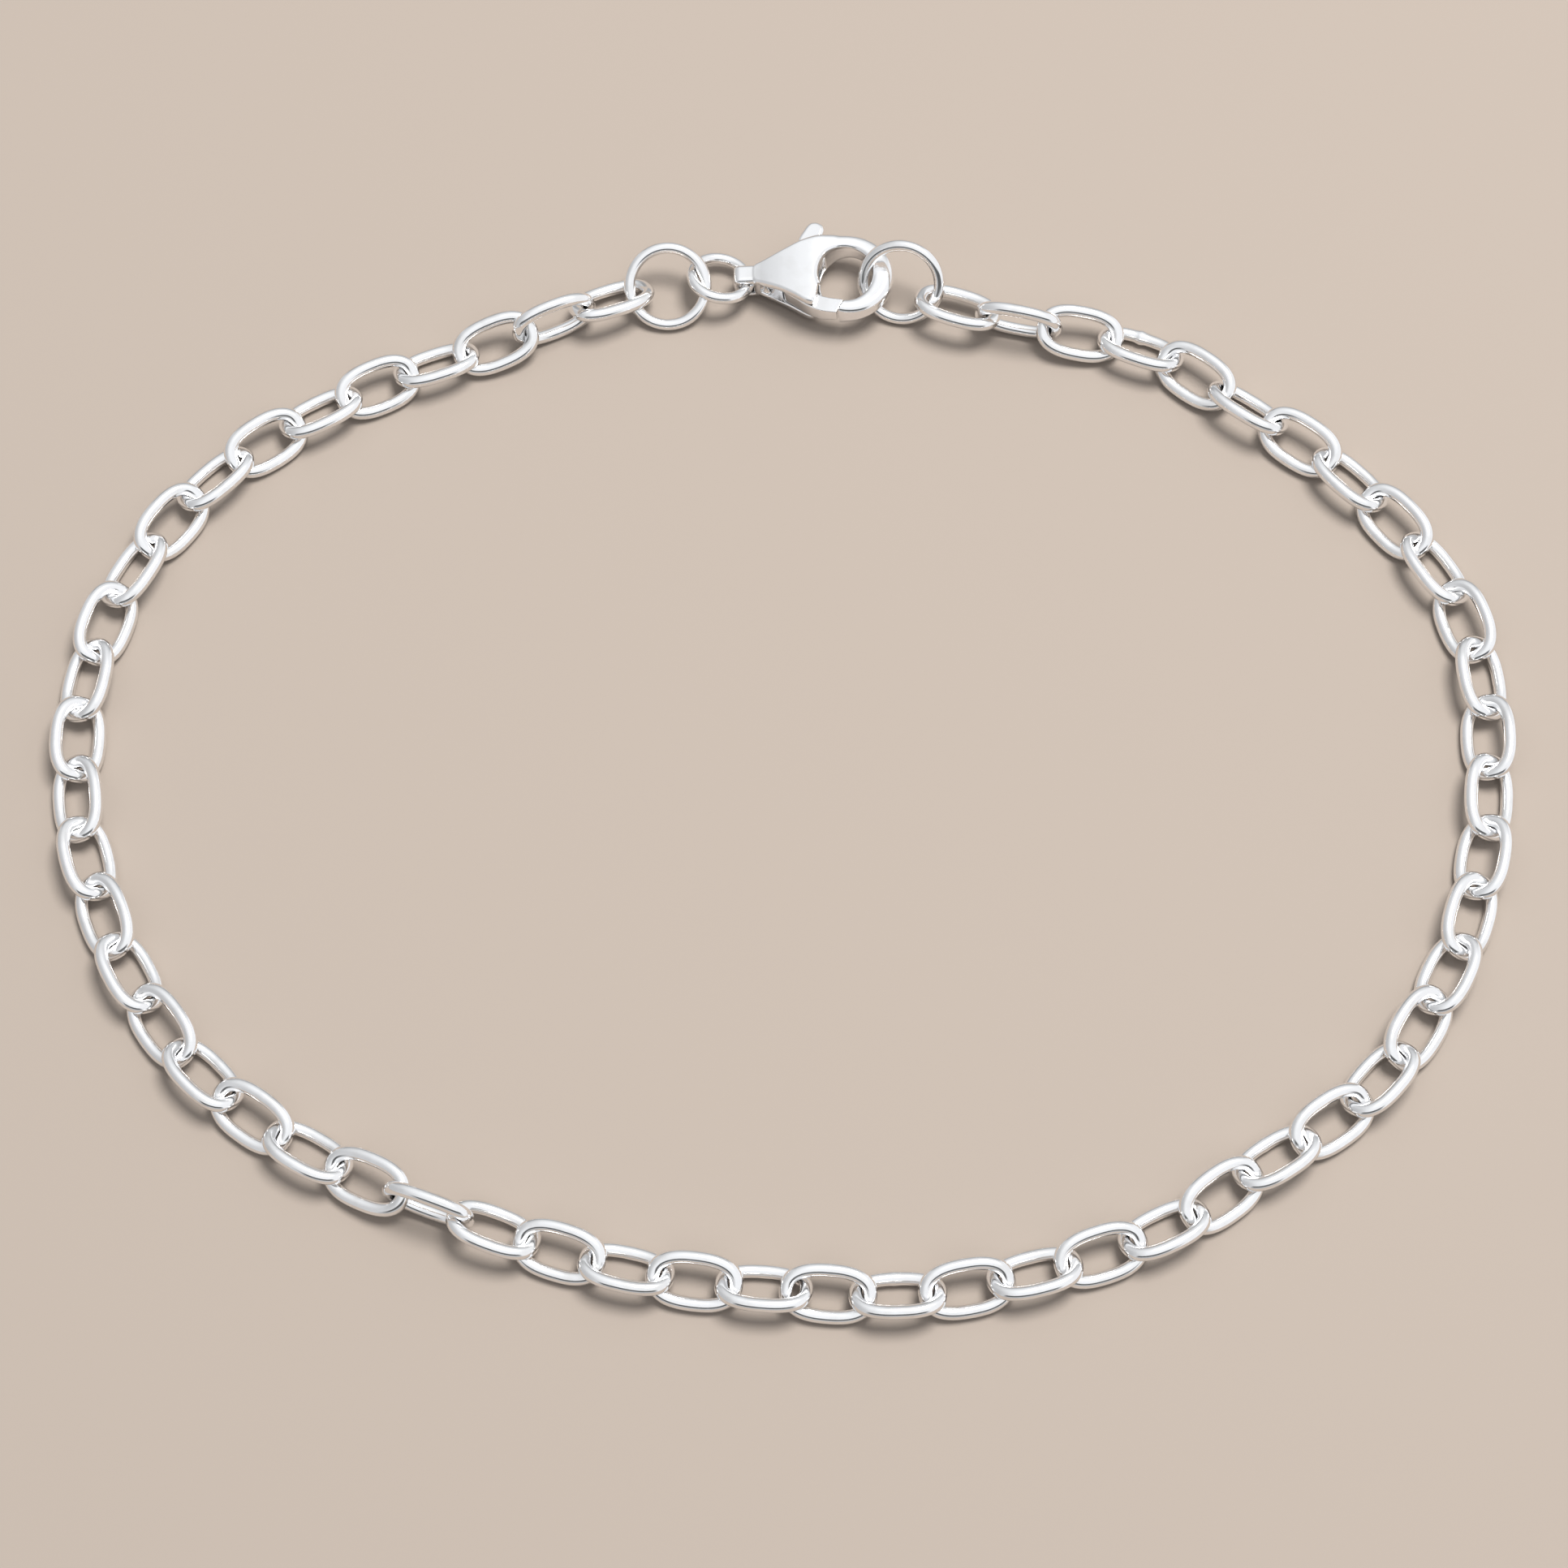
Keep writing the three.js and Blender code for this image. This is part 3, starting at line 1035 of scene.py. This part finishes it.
@dataclass(frozen=True)
class ClaspBody(Casting):
    """The clasp's body: a tail loop, two plates with the lever's slot between them, and the hook."""

    name: str = "clasp_casting"
    low: Triple = (-0.2, -2.75, -1.25)
    high: Triple = (8.3, 2.45, 1.25)
    plates: Outline = Outline(
        (
            Spot(0.9, 0.46),
            Spot(1.6, 0.72),
            Spot(2.26, 1.04),
            Spot(3.5, 1.66),
            Spot(4.3, 1.98),
            Spot(5.2, 2.04),
            Spot(5.5, 1.6),
            Spot(4.9, 1.1),
            Spot(4.36, 0.2),
            Spot(4.28, -0.8),
            Spot(4.16, -1.6),
            Spot(4.02, -2.02),
            Spot(3.66, -1.95),
            Spot(2.57, -1.22),
            Spot(1.5, -0.7),
            Spot(0.9, -0.46),
        )
    )
    profile: Profile = Profile(
        (
            ProfileRow(0.9, 0.58),
            ProfileRow(1.25, 0.68),
            ProfileRow(2.0, 0.86),
            ProfileRow(2.8, 0.97),
            ProfileRow(3.5, 1.0),
            ProfileRow(4.2, 0.95),
            ProfileRow(4.9, 0.8),
            ProfileRow(5.6, 0.64),
            ProfileRow(6.6, 0.54),
            ProfileRow(8.1, 0.5),
        ),
        easing=1.0,
    )
    edge_places: Pair = (3.4, 5.6)  # along, where the edges change
    edge_radii: Pair = (0.18, 0.4)
    slot: Outline = Outline(
        (
            Spot(1.35, -3),
            Spot(1.35, 0.1),
            Spot(1.9, 0.75),
            Spot(2.3, 3),
            Spot(4.75, 3),
            Spot(4.66, 1.9),
            Spot(4.5, 1),
            Spot(4.7, 0),
            Spot(4.7, -3),
        ),
        easing=1,
    )
    slot_profile: Profile = Profile((ProfileRow(1.3, 0.3), ProfileRow(2.3, 0.56), ProfileRow(6.0, 0.56)))
    cut_edge: float = 0.05
    hook_centre: Spot = Spot(5.72, -0.2)
    hook_radius: float = 2.27
    hook_fillet: float = 0.25
    jaw_room: float = 0.9  # from the middle to the jaw's space
    eye_centre: Spot = Spot(5.6, -0.22)
    eye_reach: Spot = Spot(1.32, 1.5)
    eye_edge: float = 0.3
    eye_core: float = 1e-9  # keeps the eye's middle from dividing by zero
    tail_length: float = 1.45
    tail_half_width: float = 0.5
    tail_half_height: float = 0.78
    tail_middle: float = -0.17
    tail_corner: float = 0.36
    tail_edge: float = 0.22
    tail_eye: Triple = (0.25, 1.12, 0.46)  # start, end and half height
    tail_eye_corner: float = 0.25
    tail_eye_edge: float = 0.08
    tail_fillet: float = 0.03
    post: Triple = (1.62, -0.42, 0.17)  # place and radius
    post_half_height: float = 0.5
    post_flare: float = 0.12
    post_flare_height: float = 0.45
    post_fillet: float = 0.08

    def eye(self, along: Array, across: Array) -> Array:
        """Measures distances to the hook's eye.

        Args:
            along: Places along the clasp.
            across: Places across it.

        Returns:
            The distances, negative inside the eye.
        """
        u = (along - self.eye_centre.along) / self.eye_reach.along
        v = (across - self.eye_centre.across) / self.eye_reach.across
        size = np.sqrt(u * u + v * v) + self.eye_core
        steepness = np.sqrt((u / self.eye_reach.along) ** 2 + (v / self.eye_reach.across) ** 2)
        return (size - 1) / (steepness / size + self.eye_core)

    def field(self, along: Array, across: Array, height: Array) -> Array:
        """Measures how far points are from the body's skin.

        Args:
            along: The points' places along the clasp.
            across: Their places across it.
            height: Their heights over the middle plane.

        Returns:
            The distances.
        """
        plates = self.plates.distance(along, across)
        hook = np.hypot(along - self.hook_centre.along, across - self.hook_centre.across) - self.hook_radius
        plan = soft_union(plates, hook, self.hook_fillet)
        edge = np.interp(along, self.edge_places, self.edge_radii)
        solid = slab(plan, height, self.profile.half(along), edge)
        solid = soft_cut(solid, self.eye(along, across), self.eye_edge)
        jaw_space = np.maximum(-self.joint.past(along, across), across + self.jaw_room)
        solid = soft_cut(solid, np.maximum(jaw_space, -plates), self.cut_edge)
        slot = np.maximum(np.abs(height) - self.slot_profile.half(along), self.slot.distance(along, across))
        solid = soft_cut(solid, slot, self.cut_edge)
        solid = soft_union(solid, self.pillar(along, across, height), self.post_fillet)
        return soft_union(solid, self.tail(along, across, height), self.tail_fillet)

    def pillar(self, along: Array, across: Array, height: Array) -> Array:
        """Measures distances to the post that joins the two plates.

        Args:
            along: Places along the clasp.
            across: Places across it.
            height: Heights over the middle plane.

        Returns:
            The distances.
        """
        post_along, post_across, radius = self.post
        flare = self.post_flare * (np.abs(height) / self.post_flare_height) ** 2
        side = np.hypot(along - post_along, across - post_across) - radius - flare
        return np.maximum(side, np.abs(height) - self.post_half_height)

    def tail(self, along: Array, across: Array, height: Array) -> Array:
        """Measures distances to the tail loop.

        Args:
            along: Places along the clasp.
            across: Places across it.
            height: Heights over the middle plane.

        Returns:
            The distances.
        """
        up = height - self.tail_middle
        half = self.tail_length / 2

        def box(length: float, middle: float, rise: float, corner: float) -> Array:
            """Gives a rounded rectangle seen from the near side."""
            u, w = np.abs(along - middle) - length + corner, np.abs(up) - rise + corner
            return np.hypot(np.maximum(u, 0), np.maximum(w, 0)) + np.minimum(np.maximum(u, w), 0) - corner

        block = box(half, half, self.tail_half_height, self.tail_corner)
        loop = slab(block, across, self.tail_half_width, self.tail_edge)
        start, end, rise = self.tail_eye
        eye = box((end - start) / 2, (start + end) / 2, rise, self.tail_eye_corner)
        return soft_cut(loop, eye, self.tail_eye_edge)


@dataclass(frozen=True)
class ClaspLever(Casting):
    """The clasp's lever: jaw, arm round the pivot, and thumb tab."""

    name: str = "lever_casting"
    low: Triple = (2.2, -2.65, -0.65)
    high: Triple = (5.8, 3.2, 0.65)
    outline: Outline = Outline(
        (
            Spot(5.4, -2.46),
            Spot(4.4, -2.3),
            Spot(3.7, -1.98),
            Spot(3.0, -1.42),
            Spot(2.52, -1.1),
            Spot(2.38, -0.75),
            Spot(2.56, -0.38),
            Spot(2.95, 0.5),
            Spot(3.15, 1.5),
            Spot(3.24, 2.05),
            Spot(3.5, 2.5),
            Spot(3.68, 2.78),
            Spot(3.9, 2.93),
            Spot(4.2, 2.93),
            Spot(4.48, 2.76),
            Spot(4.58, 2.45),
            Spot(4.46, 2.1),
            Spot(4.24, 1.2),
            Spot(4.04, 0.3),
            Spot(3.96, -0.5),
            Spot(4.1, -1.22),
            Spot(4.6, -1.5),
            Spot(5.75, -1.72),
        ),
        easing=2,
    )
    half_height: float = 0.47
    edge_places: Pair = (-1.0, 2.4)  # across, where the edges change
    edge_radii: Pair = (0.07, 0.22)
    pivot: Triple = (2.95, -0.8, 0.33)  # place and radius
    joint_gap: float = 0.07
    joint_edge: float = 0.04
    jaw_start: float = 4.3
    jaw_change: float = 0.5
    jaw_rise: float = 0.08
    jaw_thinning: float = 0.07

    def field(self, along: Array, across: Array, height: Array) -> Array:
        """Measures how far points are from the lever's skin.

        Args:
            along: The points' places along the clasp.
            across: Their places across it.
            height: Their heights over the middle plane.

        Returns:
            The distances.
        """
        plan = self.outline.distance(along, across)
        edge = np.interp(across, self.edge_places, self.edge_radii)
        jaw = np.clip((along - self.jaw_start) / self.jaw_change, 0.0, 1.0)
        half = self.half_height - self.jaw_thinning * jaw
        solid = slab(plan, height - self.jaw_rise * jaw, half, edge)
        solid = soft_cut(solid, self.joint.past(along, across) - self.joint_gap, self.joint_edge)
        pivot_along, pivot_across, radius = self.pivot
        hole = np.hypot(along - pivot_along, across - pivot_across) - radius
        return np.maximum(solid, -hole)


# Assembly, light and camera


def fix(piece: bpy.types.Object, body: Body, node: str) -> None:
    """Lets a piece ride on its body and stand for its node.

    Args:
        piece: The finished piece.
        body: The body that it moves with.
        node: The node that it stands for.
    """
    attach(piece, body.value)
    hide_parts(node)
    LOG.info("%s: %d faces", piece.name, len(piece.data.polygons))


@dataclass(frozen=True)
class Tent:
    """A soft white tent over the bracelet, brightest overhead, with a narrow dim gap at its front."""

    rows: tuple[TentRow, ...] = (
        TentRow(0.0, 0.5),
        TentRow(0.075, 0.58),
        TentRow(0.098, 0.11),
        TentRow(0.195, 0.11),
        TentRow(0.225, 0.97),
        TentRow(0.5, 1.04),
        TentRow(0.66, 1.0),
        TentRow(0.82, 0.78),
        TentRow(0.93, 0.45),
        TentRow(1.0, 0.38),
    )
    tint: Triple = (0.965, 0.98, 1.0)
    ends: Triple = (0.95, 0.96, 0.98)
    ends_span: Pair = (0.5, 0.68)  # how far to the side the ends take over
    left_span: Pair = (-1.0, -0.08)  # where the light falls off to the left
    left_level: float = 0.55  # share of the light at its far end

    def hang(self) -> None:
        """Hangs the tent round the scene."""
        world = bpy.data.worlds.new("tent")
        world.use_nodes = True
        bpy.context.scene.world = world
        nodes = Nodes(world.node_tree)
        towards = nodes.add("ShaderNodeTexCoord", {}).outputs["Generated"]
        split = nodes.add("ShaderNodeSeparateXYZ", {"Vector": towards}).outputs
        over = nodes.sum("ARCTAN2", split["Z"], nodes.sum("MULTIPLY", split["Y"], -1.0))
        cloth = nodes.add("ShaderNodeValToRGB", {"Fac": nodes.sum("DIVIDE", over, math.pi)})
        elements = cloth.color_ramp.elements
        for row in self.rows[1:-1]:
            elements.new(row.place)
        for element, row in zip(elements, self.rows):
            element.position = row.place
            element.color = (*(row.level * share for share in self.tint), 1.0)

        def eased(value: Socket, *levels: float) -> Socket:
            """Turns a stretch of a value into a smooth change between two levels."""
            names = ("From Min", "From Max", "To Min", "To Max")
            fed = {"Value": value, **dict(zip(names, levels))}
            return nodes.add("ShaderNodeMapRange", fed, interpolation_type="SMOOTHSTEP").outputs["Result"]

        # Inputs 6 and 7 and output 2 are the mixing node's colours
        share = eased(nodes.sum("ABSOLUTE", split["X"]), *self.ends_span, 0.0, 1.0)
        fed = {0: share, 6: cloth.outputs["Color"], 7: (*self.ends, 1.0)}
        colour = nodes.add("ShaderNodeMix", fed, data_type="RGBA").outputs[2]
        strength = eased(split["X"], *self.left_span, self.left_level, 1.0)
        nodes.feed(world.node_tree.nodes["Background"], {"Color": colour, "Strength": strength})


@dataclass(frozen=True)
class Studio:
    """A pale floor, a soft white tent, a soft lamp and the camera."""

    tent: Tent = Tent()
    lamp_place: Triple = (150.0, 150.0, 600.0)
    lamp_size: float = 300.0
    lamp_power: float = 6.0  # watts
    lamp_colour: Triple = (1.0, 0.985, 0.96)
    aim: Triple = (-0.05, -0.4, 0.0)
    distance: float = 182.0
    elevation: float = 66.0  # degrees above the floor
    focal: float = 4750.0  # pixels of the photograph
    frame: float = 1932.0  # the photograph's width in pixels
    sensor: float = 36.0
    floor: float = 2000.0  # half of its width

    def lay_floor(self) -> None:
        """Lays the floor."""
        mesh = bpy.data.meshes.new("floor")
        reach = self.floor * MM
        corners = [(-reach, -reach, 0), (reach, -reach, 0), (reach, reach, 0), (-reach, reach, 0)]
        mesh.from_pydata(corners, [], [(0, 1, 2, 3)])
        mesh.materials.append(PaleFloor().build())
        floor = bpy.data.objects.new("floor", mesh)
        bpy.context.scene.collection.objects.link(floor)

    def set_lamp(self) -> None:
        """Sets a soft lamp at the far right, which gives the shadows their direction."""
        lamp = bpy.data.lights.new("key_lamp", "AREA")
        lamp.shape = "DISK"
        lamp.size = self.lamp_size * MM
        lamp.energy = self.lamp_power
        lamp.color = self.lamp_colour
        held = bpy.data.objects.new("key_lamp", lamp)
        held.location = Vector(self.lamp_place) * MM
        held.rotation_euler = (-held.location).to_track_quat("-Z", "Y").to_euler()
        bpy.context.scene.collection.objects.link(held)

    def set_camera(self) -> None:
        """Sets the camera at the photograph's angle."""
        camera = bpy.data.cameras.new("camera")
        camera.sensor_width = self.sensor
        camera.lens = self.focal / self.frame * self.sensor
        camera.clip_start = 0.005
        camera.dof.use_dof = False
        held = bpy.data.objects.new("camera", camera)
        tilt = math.radians(self.elevation)
        aim = (Vector(self.aim) + Vector(LOOP_SHIFT)) * MM
        held.location = aim + Vector((0, -math.cos(tilt), math.sin(tilt))) * self.distance * MM
        held.rotation_euler = (math.pi / 2 - tilt, 0, 0)
        bpy.context.scene.collection.objects.link(held)
        bpy.context.scene.camera = held

    def build(self) -> None:
        """Sets up the floor, the lights and the camera."""
        self.lay_floor()
        self.tent.hang()
        self.set_lamp()
        self.set_camera()
        bpy.context.scene.view_settings.view_transform = "Standard"


def main() -> None:
    """Builds the bracelet's pieces in order, then the studio."""
    logging.basicConfig(level=logging.INFO, format="%(name)s %(message)s")
    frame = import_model()
    wire = WIRE_SILVER.build()
    cast = CAST_SILVER.build()
    tree = WireTree()
    CableChain(ChainLay()).build(tree, wire)
    for ring in RINGS:
        ring.build(tree, wire)
    ClaspBody().build(Body.BRACELET, "clasp_body", cast)
    ClaspLever().build(Body.LEVER, "clasp_lever", cast)
    pin = frame["nodes"]["clasp_pin"]
    pin.data.materials.clear()
    pin.data.materials.append(cast)
    Studio().build()


if __name__ == "__main__":
    main()
